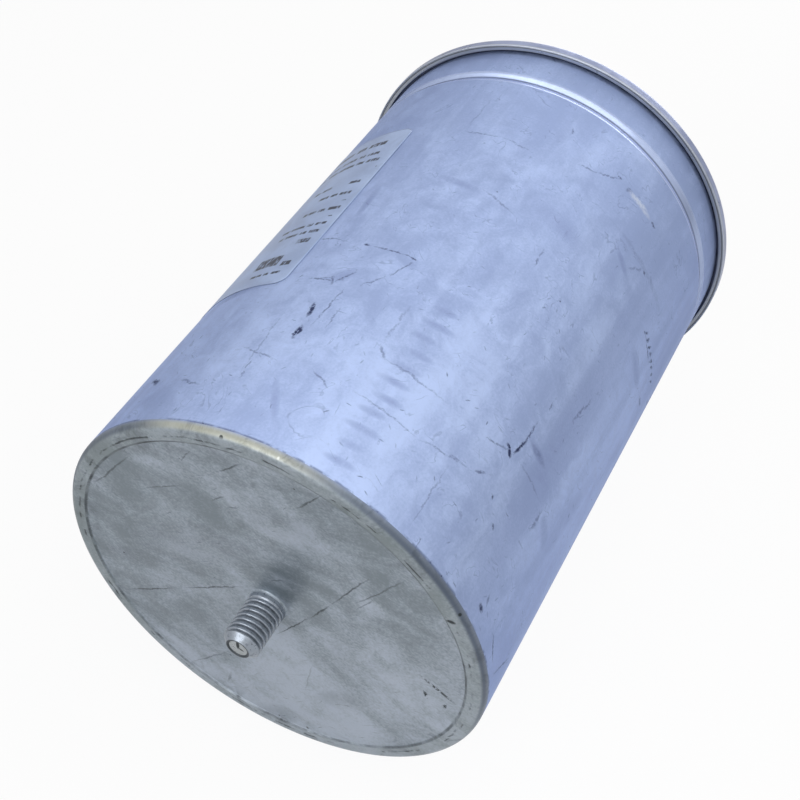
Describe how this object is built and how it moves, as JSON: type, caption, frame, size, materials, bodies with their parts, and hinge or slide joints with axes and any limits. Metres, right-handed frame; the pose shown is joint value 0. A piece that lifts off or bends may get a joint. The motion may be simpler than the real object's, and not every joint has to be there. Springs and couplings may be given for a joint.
{
  "type": "power factor correction capacitor",
  "caption": "Sealed round aluminium can capacitor with a threaded stud on its base, a rolled seam, an expansion bead and a screw-clamp terminal block on its lid.",
  "frame": {"origin": "can axis at the seating plane of the base ring, where the stud leaves the base", "axes": "+Z along the can from the base to the terminals; the stud points along -Z; wires enter the terminal block from -Y, on the label's side"},
  "size_m": [0.142, 0.142, 0.2475],
  "materials": {
    "can_aluminium": "satin, scuffed and scratched",
    "label_film": "satin film",
    "seal_rubber": "matte",
    "block_moulding": "moulded, fine grain",
    "cover_moulding": "moulded, fine grain",
    "screw_steel": "zinc plated",
    "module_ceramic": "matte, bare",
    "blade_brass": "tinned",
    "lug_brass": "satin"
  },
  "bodies": {
    "root": {"sealed_can": "can_aluminium", "label_film": "label_film", "terminal_seal": "seal_rubber", "terminal_block": "block_moulding", "terminal_cover": "cover_moulding", "clamp_screws": "screw_steel", "discharge_module": "module_ceramic", "discharge_blades": "blade_brass", "terminal_lug_1": "lug_brass", "terminal_lug_2": "lug_brass", "terminal_lug_3": "lug_brass"}
  },
  "joints": []
}
